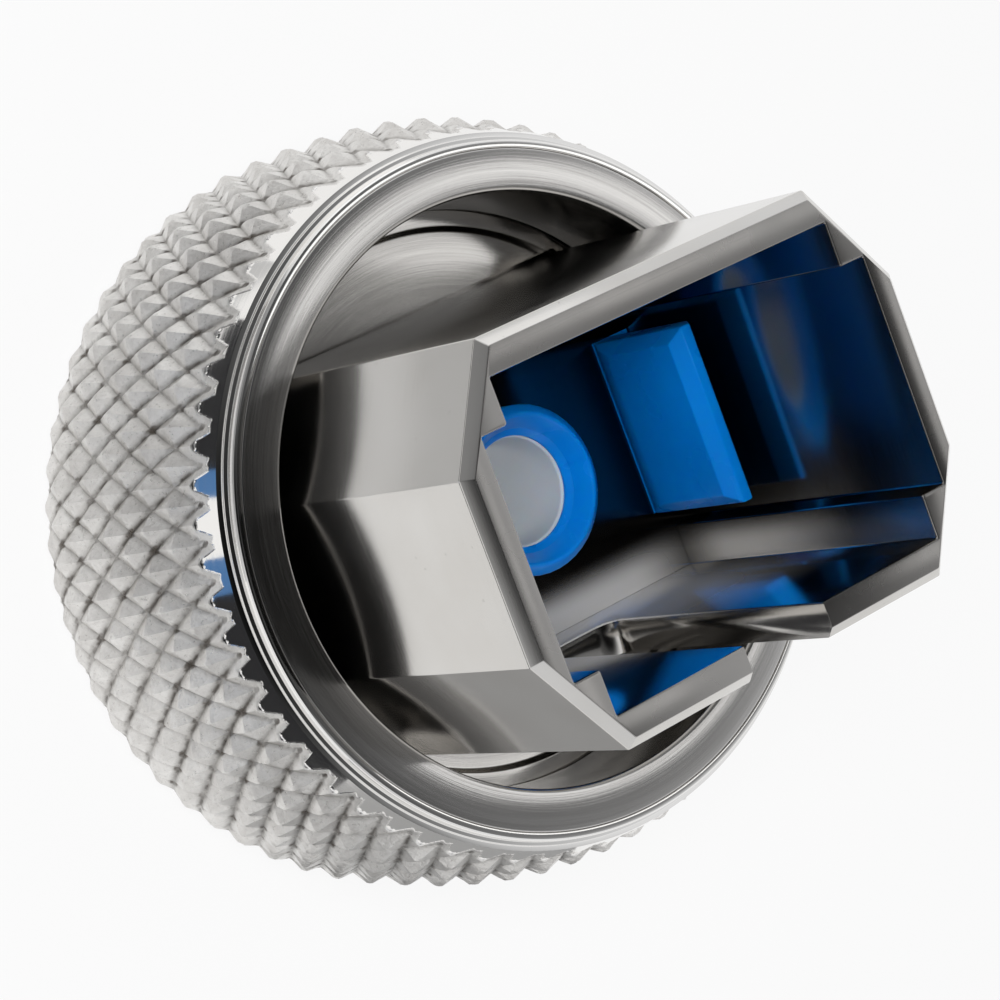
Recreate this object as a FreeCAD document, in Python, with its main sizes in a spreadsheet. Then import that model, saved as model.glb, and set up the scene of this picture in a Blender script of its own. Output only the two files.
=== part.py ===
import FreeCAD, Part
import math
import os
import Sketcher

# Screw-on fibre optic adapter with a square push-pull receptacle.
# Millimetres. The coupling nut's rear face lies on Z = 0, the common axis is Z,
# and the mouth of the receptacle points along +Z. The key slot is on the -Y side.

doc = FreeCAD.newDocument("FibreAdapter")

# Driving dimensions: name, value, meaning.
SIZES = [
    ("mouth_half_wide", 4.83, "half the width of the plug's mouth"),
    ("mouth_half_tall", 3.74, "half the height of the plug's mouth"),
    ("pocket_sunk", 0.7, "how far a side pocket is sunk into the mouth's short side"),
    ("pocket_inset", 1.04, "from the mouth's long side to the edge of a side pocket"),
    ("side_wall", 0.74, "wall outside a side pocket"),
    ("long_wall", 0.83, "wall along each long side of the mouth"),
    ("corner_wide", 1.56, "corner cut, measured along the width"),
    ("corner_tall", 2.52, "corner cut, measured along the height"),
    ("rim_bevel", 0.26, "bevel round the outside of the front rim"),
    ("receptacle_reach", 6.84, "from the ring's front face to the receptacle's front plane"),
    ("key_slot_half_wide", 1.2, "half the width of the key slot"),
    ("key_slot_end_drop", 1.1, "from the ring's front face down to the end of the key slot"),
    ("key_slot_corner", 0.55, "corner radius at the end of the key slot"),
    ("nut_length", 8.0, "rear face of the nut to the front face of its ring"),
    ("thread_bore_radius", 6.46, "minor radius of the coupling thread"),
    ("thread_lead_in", 0.3, "chamfer where the thread starts"),
    ("ring_clearance", 0.28, "from the receptacle's corners to the ring's bore"),
    ("ring_wall", 1.0, "wall of the front ring"),
    ("ring_depth", 2.9, "length of the front ring along the axis"),
    ("ring_chamfer", 0.05, "small chamfers on the front ring"),
    ("nut_wall", 1.3, "from the ring's seat to the knurl's points where the nut is widest"),
    ("lip_wall", 0.22, "from the ring's seat to the outside of the nut's front lip"),
    ("lip_edge", 0.1, "rounding height of the front lip"),
    ("step_wall", 0.28, "from the ring's seat to the foot of the front lip"),
    ("step_drop", 0.25, "from the front lip down to the step outside it"),
    ("band_wall", 0.42, "from the ring's seat to the small radius of the smooth band"),
    ("band_drop", 0.38, "from the ring's front face to the top of the smooth band"),
    ("band_slope", 0.35, "radius gained by the smooth band for each millimetre of height"),
    ("band_flat", 0.04, "flat between the step and the smooth band"),
    ("knurl_columns", 62, "diamonds round the nut"),
    ("knurl_half_rows", 8, "half diamonds along the nut"),
    ("knurl_depth", 0.4, "depth of the knurl's grooves"),
    ("knurl_front_drop", 0.83, "from the ring's front face to the start of the knurl"),
    ("knurl_zigzag", 0.18, "half the height of the zigzag at each end of the knurl"),
    ("knurl_rear_height", 0.5, "height of the knurl's rear end"),
    ("knurl_run_in", 1.5, "length over which the knurl reaches its full depth"),
    ("knurl_end_depth", 0.16, "depth of the grooves at the ends of the knurl"),
    ("crown_drop", 5.4, "from the ring's front face to where the nut is widest"),
    ("crown_front_fall", 0.68, "radius lost by the crown at the front of the knurl"),
    ("crown_rear_fall", 0.25, "radius lost by the crown at the rear of the knurl"),
    ("crown_power", 3.2, "how suddenly the crown falls away at its ends"),
    ("rear_edge_fall", 0.6, "radius lost from the widest place to the flat rear face"),
    ("turning_gap", 0.1, "clearance between the turning nut and the captive body"),
    ("disc_thick", 1.4, "thickness of the captive disc"),
    ("floor_rim", 0.38, "from the ring's bore to the edge of the disc's sunk floor"),
    ("floor_slope", 0.1, "width of the slope down to that floor"),
    ("floor_drop", 0.2, "how far that floor is sunk"),
    ("body_pocket_depth", 0.4, "how deep the receptacle is set in the floor"),
    ("locating_hole_radius", 0.6, "blind hole for the instrument's locating pin"),
    ("locating_hole_depth", 0.8, "depth of the locating hole"),
    ("locating_hole_gap", 0.33, "from the receptacle's long side out to the locating hole"),
    ("insert_gap", 0.03, "clearance round the moulded insert"),
    ("base_thick", 1.3, "thickness of the insert's base"),
    ("sleeve_bore_radius", 1.25, "bore of the split sleeve, for a 2.5 mm ferrule"),
    ("sleeve_wall", 0.35, "wall of the split sleeve"),
    ("sleeve_gap", 0.03, "clearance round and at the ends of the sleeve"),
    ("sleeve_slit", 0.35, "width of the slit along the sleeve"),
    ("tube_wall", 0.37, "wall of the alignment tube round the sleeve"),
    ("tube_tip_drop", 0.4, "from the ring's front face down to the tube's tip"),
    ("tube_edge", 0.2, "rounding of the tube's outer edge"),
    ("countersink_rim", 0.28, "from the tube's outside to its countersink"),
    ("countersink_depth", 0.42, "depth of the tube's countersink"),
    ("lip_overlap", 0.15, "how far the lips at both ends cover the sleeve's wall"),
    ("lip_thick", 0.18, "thickness of the lip that keeps the sleeve in"),
    ("arm_sunk", 0.12, "how far the latch arm reaches into its side pocket"),
    ("arm_thick", 0.6, "thickness of the latch arm"),
    ("arm_inset", 0.5, "from a side pocket's edge to the edge of the latch arm"),
    ("hook_thick", 0.95, "thickness of the latch hook"),
    ("hook_bevel", 0.39, "width of the slope outside the hook's front face"),
    ("hook_reach", 1.35, "from the ring's front face to the hook's front face"),
    ("hook_length", 3.0, "length of the hook along the axis"),
    ("hook_slope", 0.55, "length of the slopes at both ends of the hook"),
    ("hook_corner", 0.3, "corner cut along the two sides of the hook"),
    ("bush_wall", 0.47, "wall of the sleeve retainer's stem"),
    ("bush_flange", 0.6, "how far the retainer's head stands out from its stem"),
    ("bush_head_thick", 0.3, "head thickness of the sleeve retainer"),
    ("bush_depth", 0.5, "how deep the retainer reaches into the insert"),
    ("bush_lip_thick", 0.2, "thickness of the retainer's end wall"),
]


def fill_sheet():
    """Write the driving dimensions into a sheet, each with its own alias."""
    sheet = doc.addObject("Spreadsheet::Sheet", "Sizes")
    for row, (alias, value, meaning) in enumerate(SIZES, start=1):
        sheet.set(f"A{row}", alias)
        sheet.set(f"B{row}", str(value))
        sheet.set(f"C{row}", meaning)
        sheet.setAlias(f"B{row}", alias)
    doc.recompute()
    return sheet


sheet = fill_sheet()


def size(alias):
    """The value of one driving dimension."""
    return float(sheet.get(alias))


def worked_out(expression):
    """The present value of an expression on the sheet."""
    return float(sheet.evalExpression(expression.replace("Sizes.", "")))


# Heights and radii that follow from the sheet, as expressions.
POCKET_WIDE = "(Sizes.mouth_half_wide + Sizes.pocket_sunk)"
POCKET_TALL = "(Sizes.mouth_half_tall - Sizes.pocket_inset)"
SHELL_WIDE = "(Sizes.mouth_half_wide + Sizes.pocket_sunk + Sizes.side_wall)"
SHELL_TALL = "(Sizes.mouth_half_tall + Sizes.long_wall)"
CORNER_REACH = f"sqrt({SHELL_WIDE} ^ 2 + ({SHELL_TALL} - Sizes.corner_tall) ^ 2)"
RING_BORE = f"({CORNER_REACH} + Sizes.ring_clearance)"
RING_SEAT = f"({CORNER_REACH} + Sizes.ring_clearance + Sizes.ring_wall)"
CROWN_RADIUS = f"({RING_SEAT} + Sizes.nut_wall)"
BAND_RADIUS = f"({RING_SEAT} + Sizes.band_wall)"
FLOOR_RIM_RADIUS = f"({RING_BORE} - Sizes.floor_rim)"
RING_REAR = "Sizes.nut_length - Sizes.ring_depth"
FLANGE_FRONT = RING_REAR + " - Sizes.turning_gap"
FLANGE_REAR = FLANGE_FRONT + " - Sizes.disc_thick"
SHOULDER = FLANGE_REAR + " - Sizes.turning_gap"
FLANGE_RADIUS = f"({RING_SEAT} - Sizes.turning_gap)"
FLOOR = FLANGE_FRONT + " - Sizes.floor_drop"
POCKET_FLOOR = FLOOR + " - Sizes.body_pocket_depth"
SHELL_FRONT = "Sizes.nut_length + Sizes.receptacle_reach"
SLOT_END = "Sizes.nut_length - Sizes.key_slot_end_drop"
TUBE_TIP = "Sizes.nut_length - Sizes.tube_tip_drop"
HOOK_FRONT = "Sizes.nut_length + Sizes.hook_reach"
HOLE_OFFSET = f"({SHELL_TALL} + Sizes.locating_hole_gap + Sizes.locating_hole_radius)"
BASE_TOP = POCKET_FLOOR + " + Sizes.base_thick"
SLEEVE_RADIUS = "(Sizes.sleeve_bore_radius + Sizes.sleeve_wall)"
SLEEVE_SEAT_RADIUS = f"({SLEEVE_RADIUS} + Sizes.sleeve_gap)"
TUBE_RADIUS = f"({SLEEVE_SEAT_RADIUS} + Sizes.tube_wall)"
BUSH_RADIUS = f"({SLEEVE_SEAT_RADIUS} + Sizes.bush_wall)"
BUSH_HEAD_RADIUS = f"({BUSH_RADIUS} + Sizes.bush_flange)"
LIP_BORE = f"({SLEEVE_RADIUS} - Sizes.lip_overlap)"
LIP_TOP = TUBE_TIP + " - Sizes.countersink_depth"
SLEEVE_TOP = LIP_TOP + " - Sizes.lip_thick - Sizes.sleeve_gap"
SLEEVE_REAR = FLANGE_REAR + " + Sizes.bush_lip_thick + Sizes.sleeve_gap"
BUSH_TOP = POCKET_FLOOR + " + Sizes.bush_depth"
ARM_OUTER = "(Sizes.mouth_half_wide + Sizes.arm_sunk)"
ARM_INNER = f"({ARM_OUTER} - Sizes.arm_thick)"
ARM_TALL = f"({POCKET_TALL} - Sizes.arm_inset)"
HOOK_INNER = f"({ARM_OUTER} - Sizes.hook_thick)"
HOOK_NOSE = f"({ARM_OUTER} - Sizes.hook_bevel)"


def new_body(label):
    """A part design body, labelled with its node's name."""
    body = doc.addObject("PartDesign::Body", label)
    body.Label = label
    return body


def plane_of(body, role):
    """One of a body's own origin planes."""
    for feature in body.Origin.OriginFeatures:
        if feature.Role == role:
            return feature
    raise ValueError(role)


def new_sketch(body, name, role, height=None):
    """A sketch on a body's origin plane, lifted off it by an expression."""
    sketch = body.newObject("Sketcher::SketchObject", name)
    sketch.AttachmentSupport = [(plane_of(body, role), "")]
    sketch.MapMode = "FlatFace"
    if height is not None:
        sketch.setExpression("AttachmentOffset.Base.z", height)
    return sketch


def draw_outline(sketch, corners):
    """A closed outline through corners whose two coordinates are expressions."""
    places = [FreeCAD.Vector(worked_out(across), worked_out(up), 0) for across, up in corners]
    first = sketch.GeometryCount
    count = len(places)
    for index in range(count):
        sketch.addGeometry(Part.LineSegment(places[index], places[(index + 1) % count]), False)
    for index in range(count):
        following = first + (index + 1) % count
        sketch.addConstraint(Sketcher.Constraint("Coincident", first + index, 2, following, 1))
    for index, (across, up) in enumerate(corners):
        for kind, expression, place in (
            ("DistanceX", across, places[index].x),
            ("DistanceY", up, places[index].y),
        ):
            rule = Sketcher.Constraint(kind, -1, 1, first + index, 1, place)
            number = sketch.addConstraint(rule)
            sketch.setExpression(f"Constraints[{number}]", expression)


def draw_circle(sketch, across, up, radius):
    """A circle whose centre and radius are expressions."""
    centre = FreeCAD.Vector(worked_out(across), worked_out(up), 0)
    circle = Part.Circle(centre, FreeCAD.Vector(0, 0, 1), worked_out(radius))
    index = sketch.addGeometry(circle, False)
    number = sketch.addConstraint(Sketcher.Constraint("Radius", index, circle.Radius))
    sketch.setExpression(f"Constraints[{number}]", radius)
    for kind, expression, place in (("DistanceX", across, centre.x), ("DistanceY", up, centre.y)):
        number = sketch.addConstraint(Sketcher.Constraint(kind, -1, 1, index, 3, place))
        sketch.setExpression(f"Constraints[{number}]", expression)


def revolve(body, name, corners):
    """Turn an outline of (radius, height) corners about Z."""
    sketch = new_sketch(body, name + "Profile", "XZ_Plane")
    draw_outline(sketch, corners)
    feature = body.newObject("PartDesign::Revolution", name)
    feature.Profile = sketch
    feature.ReferenceAxis = (sketch, ["V_Axis"])
    feature.Angle = 360
    return feature


def groove(body, name, corners):
    """Cut away an outline of (radius, height) corners turned about Z."""
    sketch = new_sketch(body, name + "Profile", "XZ_Plane")
    draw_outline(sketch, corners)
    feature = body.newObject("PartDesign::Groove", name)
    feature.Profile = sketch
    feature.ReferenceAxis = (sketch, ["V_Axis"])
    feature.Angle = 360
    return feature


def pad(body, name, sketch, length, midplane=False):
    """Pad a sketch by an expression."""
    feature = body.newObject("PartDesign::Pad", name)
    feature.Profile = sketch
    feature.Midplane = midplane
    feature.setExpression("Length", length)
    return feature


def pocket(body, name, sketch, length, reverse=False):
    """Cut a sketch into a body by an expression, against its normal or along it."""
    feature = body.newObject("PartDesign::Pocket", name)
    feature.Profile = sketch
    feature.Reversed = reverse
    feature.setExpression("Length", length)
    return feature


def check_cut(body, feature):
    """Stop if a cut took nothing away."""
    doc.recompute()
    before = feature.BaseFeature.Shape.Volume
    if not feature.Shape.Volume < before - 1e-6:
        raise RuntimeError(f"{body.Label}: {feature.Name} cuts nothing")


def edges_where(shape, test):
    """The names of the edges whose end points all pass a test."""
    names = []
    for number, edge in enumerate(shape.Edges, start=1):
        if all(test(vertex.Point) for vertex in edge.Vertexes):
            names.append(f"Edge{number}")
    return names


def bevel(body, name, base, test, width):
    """Bevel the edges of a feature that pass a test."""
    doc.recompute()
    feature = body.newObject("PartDesign::Chamfer", name)
    feature.Base = (base, edges_where(base.Shape, test))
    feature.setExpression("Size", width)
    return feature


def near(one, other):
    """True if two numbers are equal to a thousandth."""
    return abs(one - other) < 1e-3


def octagon():
    """Corners of the receptacle's outline, a rectangle with cut corners."""
    flat_x = f"({SHELL_WIDE} - Sizes.corner_wide)"
    flat_y = f"({SHELL_TALL} - Sizes.corner_tall)"
    quarter = [(SHELL_WIDE, flat_y), (flat_x, SHELL_TALL)]
    corners = list(quarter)
    corners += [("-" + across, up) for across, up in reversed(quarter)]
    corners += [("-" + across, "-" + up) for across, up in quarter]
    corners += [(across, "-" + up) for across, up in reversed(quarter)]
    return corners


def stepped_mouth(gap):
    """Corners of the mouth with its two side pockets, all set in by a gap."""
    wide = f"(Sizes.mouth_half_wide - {gap})"
    tall = f"(Sizes.mouth_half_tall - {gap})"
    pocket_wide = f"({POCKET_WIDE} - {gap})"
    pocket_tall = f"({POCKET_TALL} - {gap})"
    quarter = [(pocket_wide, pocket_tall), (wide, pocket_tall), (wide, tall)]
    corners = list(quarter)
    corners += [("-" + across, up) for across, up in reversed(quarter)]
    corners += [("-" + across, "-" + up) for across, up in quarter]
    corners += [(across, "-" + up) for across, up in reversed(quarter)]
    return corners


def crest_radius(height, front, rear):
    """Radius of the knurl's points at a height: a crowned barrel."""
    middle = size("nut_length") - size("crown_drop")
    if height > middle:
        drop = size("crown_front_fall")
        share = (height - middle) / (front - middle)
    else:
        drop = size("crown_rear_fall")
        share = (middle - height) / (middle - rear)
    return worked_out(CROWN_RADIUS) - drop * share ** size("crown_power")


def groove_depth(height, front, rear):
    """Depth of the knurl's grooves at a height, shallow at both ends."""
    share = min(1.0, min(front - height, height - rear) / size("knurl_run_in"))
    return size("knurl_end_depth") + (size("knurl_depth") - size("knurl_end_depth")) * share


def knurl_grid():
    """Rows of points: groove crossings and diamond points by turns."""
    front = size("nut_length") - size("knurl_front_drop")
    rear = size("knurl_rear_height")
    half_rows = int(size("knurl_half_rows"))
    half_columns = 2 * int(size("knurl_columns"))
    zigzag = size("knurl_zigzag")
    band_top = size("nut_length") - size("band_drop")
    band_radius = worked_out(BAND_RADIUS)
    rows = []
    for row in range(half_rows + 1):
        height = front - (front - rear) * row / half_rows
        crest = crest_radius(height, front, rear)
        depth = groove_depth(height, front, rear)
        points = []
        for column in range(half_columns):
            is_point = (row + column) % 2 == 1
            radius = crest if is_point else crest - depth
            level = height
            if row == 0:
                level = height - zigzag if is_point else height + zigzag
                radius = band_radius + (band_top - level) * size("band_slope")
            if row == half_rows:
                level = height + zigzag if is_point else height - zigzag
            angle = math.pi * column / (half_columns / 2)
            point = FreeCAD.Vector(radius * math.cos(angle), radius * math.sin(angle), level)
            points.append(point)
        rows.append(points)
    return rows


def level_ring(radius, height, count):
    """Points spaced evenly round a level circle."""
    points = []
    for number in range(count):
        angle = 2 * math.pi * number / count
        points.append(FreeCAD.Vector(radius * math.cos(angle), radius * math.sin(angle), height))
    return points


def triangle(one, two, three):
    """A flat face through three points."""
    return Part.Face(Part.makePolygon([one, two, three, one]))


def band_between(upper, lower, split_down):
    """Triangles between two rows of points."""
    faces = []
    count = len(upper)
    for column in range(count):
        after = (column + 1) % count
        if split_down(column):
            faces.append(triangle(upper[column], lower[column], lower[after]))
            faces.append(triangle(upper[column], lower[after], upper[after]))
        else:
            faces.append(triangle(upper[column], lower[column], upper[after]))
            faces.append(triangle(upper[after], lower[column], lower[after]))
    return faces


def flat_ring(corners, radius, height):
    """A level face between a many-sided outside and a round hole."""
    outside = Part.makePolygon(corners + [corners[0]])
    hole = Part.Wire(Part.makeCircle(radius, FreeCAD.Vector(0, 0, height)))
    hole.reverse()
    return Part.Face([outside, hole])


def turned_faces(corners):
    """The faces swept by an open outline of (radius, height) corners."""
    points = [FreeCAD.Vector(radius, 0, height) for radius, height in corners]
    outline = Part.makePolygon(points)
    return outline.revolve(FreeCAD.Vector(0, 0, 0), FreeCAD.Vector(0, 0, 1), 360).Faces


def coupling_nut():
    """The nut: a diamond-knurled barrel, threaded behind, with a seat for the ring."""
    rows = knurl_grid()
    count = len(rows[0])
    top = size("nut_length")
    band_top = top - size("band_drop")
    seat = worked_out(RING_SEAT)
    band_radius = worked_out(BAND_RADIUS)
    rear_edge = level_ring(worked_out(CROWN_RADIUS) - size("rear_edge_fall"), 0, count)
    band_edge = level_ring(band_radius, band_top, count)
    faces = []
    for row in range(len(rows) - 1):
        crossing_first = [(row + column) % 2 == 0 for column in range(count)]
        faces += band_between(rows[row], rows[row + 1], lambda column: crossing_first[column])
    faces += band_between(band_edge, rows[0], lambda column: column % 2 == 1)
    faces += band_between(rows[-1], rear_edge, lambda column: column % 2 == 1)
    faces.append(flat_ring(band_edge, band_radius - size("band_flat"), band_top))
    thread_mouth = size("thread_bore_radius") + size("thread_lead_in")
    shoulder = worked_out(SHOULDER)
    faces.append(flat_ring(rear_edge, thread_mouth, 0))
    outline = [
        (band_radius - size("band_flat"), band_top),
        (seat + size("step_wall"), top - size("step_drop")),
        (seat + size("lip_wall"), top - size("lip_edge")),
        (seat + size("lip_wall") - size("lip_edge") / 2, top),
        (seat, top),
        (seat, shoulder),
        (size("thread_bore_radius"), shoulder),
        (size("thread_bore_radius"), size("thread_lead_in")),
        (thread_mouth, 0),
    ]
    faces += turned_faces(outline)
    shell = Part.makeShell(faces)
    shell.sewShape()
    solid = Part.makeSolid(shell.Shells[0])
    if solid.Volume < 0:
        solid.reverse()
    feature = doc.addObject("Part::Feature", "coupling_nut")
    feature.Label = "coupling_nut"
    feature.Shape = solid
    feature.Placement = FreeCAD.Placement()
    return feature


def bezel_ring():
    """The satin ring pressed into the nut's front, which keeps the body in."""
    body = new_body("bezel_ring")
    top = "Sizes.nut_length"
    edge = "Sizes.ring_chamfer"
    revolve(body, "Ring", [
        (RING_BORE, RING_REAR),
        (RING_SEAT, RING_REAR),
        (RING_SEAT, f"{top} - {edge}"),
        (f"{RING_SEAT} - {edge}", top),
        (f"{RING_BORE} + {edge}", top),
        (RING_BORE, f"{top} - {edge}"),
    ])
    return body


def adapter_body():
    """The captive disc: carries the receptacle and turns freely in the nut."""
    body = new_body("adapter_body")
    head_seat = FLANGE_REAR + " + Sizes.bush_head_thick"
    revolve(body, "Disc", [
        (BUSH_HEAD_RADIUS, FLANGE_REAR),
        (FLANGE_RADIUS, FLANGE_REAR),
        (FLANGE_RADIUS, FLANGE_FRONT),
        (FLOOR_RIM_RADIUS, FLANGE_FRONT),
        (f"{FLOOR_RIM_RADIUS} - Sizes.floor_slope", FLOOR),
        (BUSH_RADIUS, FLOOR),
        (BUSH_RADIUS, head_seat),
        (BUSH_HEAD_RADIUS, head_seat),
    ])
    seat_sketch = new_sketch(body, "ReceptacleSeat", "XY_Plane", FLANGE_FRONT)
    draw_outline(seat_sketch, octagon())
    seat = pocket(body, "Seat", seat_sketch, "Sizes.floor_drop + Sizes.body_pocket_depth")
    check_cut(body, seat)
    hole_sketch = new_sketch(body, "LocatingHoleCircle", "XY_Plane", FLANGE_REAR)
    draw_circle(hole_sketch, "0", "-" + HOLE_OFFSET, "Sizes.locating_hole_radius")
    hole = pocket(body, "LocatingHole", hole_sketch, "Sizes.locating_hole_depth", reverse=True)
    check_cut(body, hole)
    return body


def receptacle_shell():
    """The polished eight-sided housing that the plug slides into."""
    body = new_body("receptacle_shell")
    outline = new_sketch(body, "Outline", "XY_Plane", POCKET_FLOOR)
    draw_outline(outline, octagon())
    height = f"{SHELL_FRONT} - ({POCKET_FLOOR})"
    block = pad(body, "Block", outline, height)
    front = worked_out(SHELL_FRONT)
    rim = bevel(body, "RimBevel", block, lambda point: near(point.z, front), "Sizes.rim_bevel")
    doc.recompute()
    if not rim.Shape.isValid():
        raise RuntimeError("the rim's bevel failed")
    mouth_sketch = new_sketch(body, "MouthOutline", "XY_Plane", SHELL_FRONT)
    draw_outline(mouth_sketch, stepped_mouth("0"))
    mouth = pocket(body, "Mouth", mouth_sketch, height)
    check_cut(body, mouth)
    slot_sketch = new_sketch(body, "KeySlotOutline", "XZ_Plane")
    half = "Sizes.key_slot_half_wide"
    corner = "Sizes.key_slot_corner"
    end = SLOT_END
    open_end = f"{SHELL_FRONT} + Sizes.rim_bevel"
    blend = f"{corner} * (1 - cos(45))"
    draw_outline(slot_sketch, [
        (f"-{half} + {corner}", end),
        (f"{half} - {corner}", end),
        (f"{half} - {blend}", f"{end} + {blend}"),
        (half, f"{end} + {corner}"),
        (half, open_end),
        (f"-{half}", open_end),
        (f"-{half}", f"{end} + {corner}"),
        (f"-{half} + {blend}", f"{end} + {blend}"),
    ])
    depth = SHELL_TALL + " + Sizes.rim_bevel"
    slot = pocket(body, "KeySlot", slot_sketch, depth, reverse=True)
    check_cut(body, slot)
    if not slot.Shape.CenterOfGravity.y > mouth.Shape.CenterOfGravity.y:
        raise RuntimeError("the key slot is on the wrong side")
    return body


def latch_insert():
    """The blue moulding: base, alignment tube and two latch arms."""
    body = new_body("latch_insert")
    base_sketch = new_sketch(body, "BaseOutline", "XY_Plane", POCKET_FLOOR)
    draw_outline(base_sketch, stepped_mouth("Sizes.insert_gap"))
    pad(body, "Base", base_sketch, "Sizes.base_thick")
    revolve(body, "Tube", [
        ("0", BASE_TOP),
        (TUBE_RADIUS, BASE_TOP),
        (TUBE_RADIUS, TUBE_TIP + " - Sizes.tube_edge"),
        (TUBE_RADIUS + " - Sizes.tube_edge", TUBE_TIP),
        ("0", TUBE_TIP),
    ])
    arm_sketch = new_sketch(body, "ArmOutline", "XZ_Plane")
    hook_rear = HOOK_FRONT + " - Sizes.hook_length"
    for sign in ("", "-"):
        draw_outline(arm_sketch, [
            (sign + ARM_INNER, BASE_TOP),
            (sign + ARM_OUTER, BASE_TOP),
            (sign + ARM_OUTER, HOOK_FRONT + " - Sizes.hook_slope"),
            (sign + HOOK_NOSE, HOOK_FRONT),
            (sign + HOOK_INNER, HOOK_FRONT),
            (sign + HOOK_INNER, hook_rear),
            (sign + ARM_INNER, f"{hook_rear} - Sizes.hook_slope"),
        ])
    arms = pad(body, "Arms", arm_sketch, "2 * " + ARM_TALL, midplane=True)
    inner = worked_out(HOOK_INNER)
    side = worked_out(ARM_TALL)
    cut = bevel(
        body, "HookCorners", arms,
        lambda point: near(abs(point.x), inner) and near(abs(point.y), side),
        "Sizes.hook_corner",
    )
    doc.recompute()
    if not cut.Shape.Volume < arms.Shape.Volume:
        raise RuntimeError("the hooks' corners were not cut")
    bore = groove(body, "SleeveSeat", [
        ("0", POCKET_FLOOR),
        (BUSH_RADIUS, POCKET_FLOOR),
        (BUSH_RADIUS, BUSH_TOP),
        (SLEEVE_SEAT_RADIUS, BUSH_TOP),
        (SLEEVE_SEAT_RADIUS, LIP_TOP + " - Sizes.lip_thick"),
        (LIP_BORE, LIP_TOP + " - Sizes.lip_thick"),
        (LIP_BORE, LIP_TOP),
        (TUBE_RADIUS + " - Sizes.countersink_rim", TUBE_TIP),
        ("0", TUBE_TIP),
    ])
    check_cut(body, bore)
    return body


def sleeve_retainer():
    """The flanged bush that closes the tube behind the sleeve."""
    body = new_body("sleeve_retainer")
    head_seat = FLANGE_REAR + " + Sizes.bush_head_thick"
    wall_top = FLANGE_REAR + " + Sizes.bush_lip_thick"
    revolve(body, "Bush", [
        (LIP_BORE, FLANGE_REAR),
        (BUSH_HEAD_RADIUS, FLANGE_REAR),
        (BUSH_HEAD_RADIUS, head_seat),
        (BUSH_RADIUS, head_seat),
        (BUSH_RADIUS, BUSH_TOP),
        (SLEEVE_SEAT_RADIUS, BUSH_TOP),
        (SLEEVE_SEAT_RADIUS, wall_top),
        (LIP_BORE, wall_top),
    ])
    return body


def split_sleeve():
    """The ceramic sleeve that lines up the two ferrules, slit along one side."""
    length = f"({SLEEVE_TOP}) - ({SLEEVE_REAR})"
    outside = doc.addObject("Part::Cylinder", "SleeveOutside")
    outside.setExpression("Radius", SLEEVE_RADIUS)
    outside.setExpression("Height", length)
    outside.setExpression("Placement.Base.z", SLEEVE_REAR)
    inside = doc.addObject("Part::Cylinder", "SleeveBore")
    inside.setExpression("Radius", "Sizes.sleeve_bore_radius")
    inside.setExpression("Height", length)
    inside.setExpression("Placement.Base.z", SLEEVE_REAR)
    slit = doc.addObject("Part::Box", "SleeveSlit")
    slit.setExpression("Length", "2 * " + TUBE_RADIUS)
    slit.setExpression("Width", "Sizes.sleeve_slit")
    slit.setExpression("Height", length)
    slit.setExpression("Placement.Base.x", "-2 * " + TUBE_RADIUS)
    slit.setExpression("Placement.Base.y", "-Sizes.sleeve_slit / 2")
    slit.setExpression("Placement.Base.z", SLEEVE_REAR)
    tube = doc.addObject("Part::Cut", "SleeveTube")
    tube.Base = outside
    tube.Tool = inside
    sleeve = doc.addObject("Part::Cut", "split_sleeve")
    sleeve.Base = tube
    sleeve.Tool = slit
    sleeve.Label = "split_sleeve"
    return sleeve


nodes = [
    coupling_nut(),
    bezel_ring(),
    adapter_body(),
    receptacle_shell(),
    latch_insert(),
    sleeve_retainer(),
    split_sleeve(),
]
doc.recompute()

for item in doc.Objects:
    if "Invalid" in item.State or "Error" in item.State:
        raise RuntimeError(f"{item.Label} failed: {item.State}")
for node in nodes:
    if node.Shape.isNull() or not node.Shape.isValid():
        raise RuntimeError(f"{node.Label} has no valid shape")
    if len(node.Shape.Solids) != 1:
        raise RuntimeError(f"{node.Label} is not one solid")

os.makedirs("parts", exist_ok=True)
for node in nodes:
    node.Shape.exportStep(f"parts/{node.Label}.step")
    box = node.Shape.BoundBox
    print(f"{node.Label}: {node.Shape.Volume:.2f} mm3, height {box.ZMin:.2f} to {box.ZMax:.2f}")
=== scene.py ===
import math

import bmesh
import bpy
from mathutils import Matrix, Vector, noise


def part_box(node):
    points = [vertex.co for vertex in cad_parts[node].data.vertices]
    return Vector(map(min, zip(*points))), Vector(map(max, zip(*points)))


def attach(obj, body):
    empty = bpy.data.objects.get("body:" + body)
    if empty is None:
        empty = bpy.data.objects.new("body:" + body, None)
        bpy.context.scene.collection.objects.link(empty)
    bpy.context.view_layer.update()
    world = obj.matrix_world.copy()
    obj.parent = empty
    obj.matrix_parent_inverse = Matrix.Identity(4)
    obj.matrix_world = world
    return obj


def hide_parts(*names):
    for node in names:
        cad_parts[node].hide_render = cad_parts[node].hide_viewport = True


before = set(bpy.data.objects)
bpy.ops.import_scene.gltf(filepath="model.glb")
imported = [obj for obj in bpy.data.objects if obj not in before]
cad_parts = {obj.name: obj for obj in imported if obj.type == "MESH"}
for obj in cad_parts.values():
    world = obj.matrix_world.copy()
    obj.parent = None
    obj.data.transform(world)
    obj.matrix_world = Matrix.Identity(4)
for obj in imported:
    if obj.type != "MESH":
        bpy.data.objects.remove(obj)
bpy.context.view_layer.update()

MM = 0.001

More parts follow.
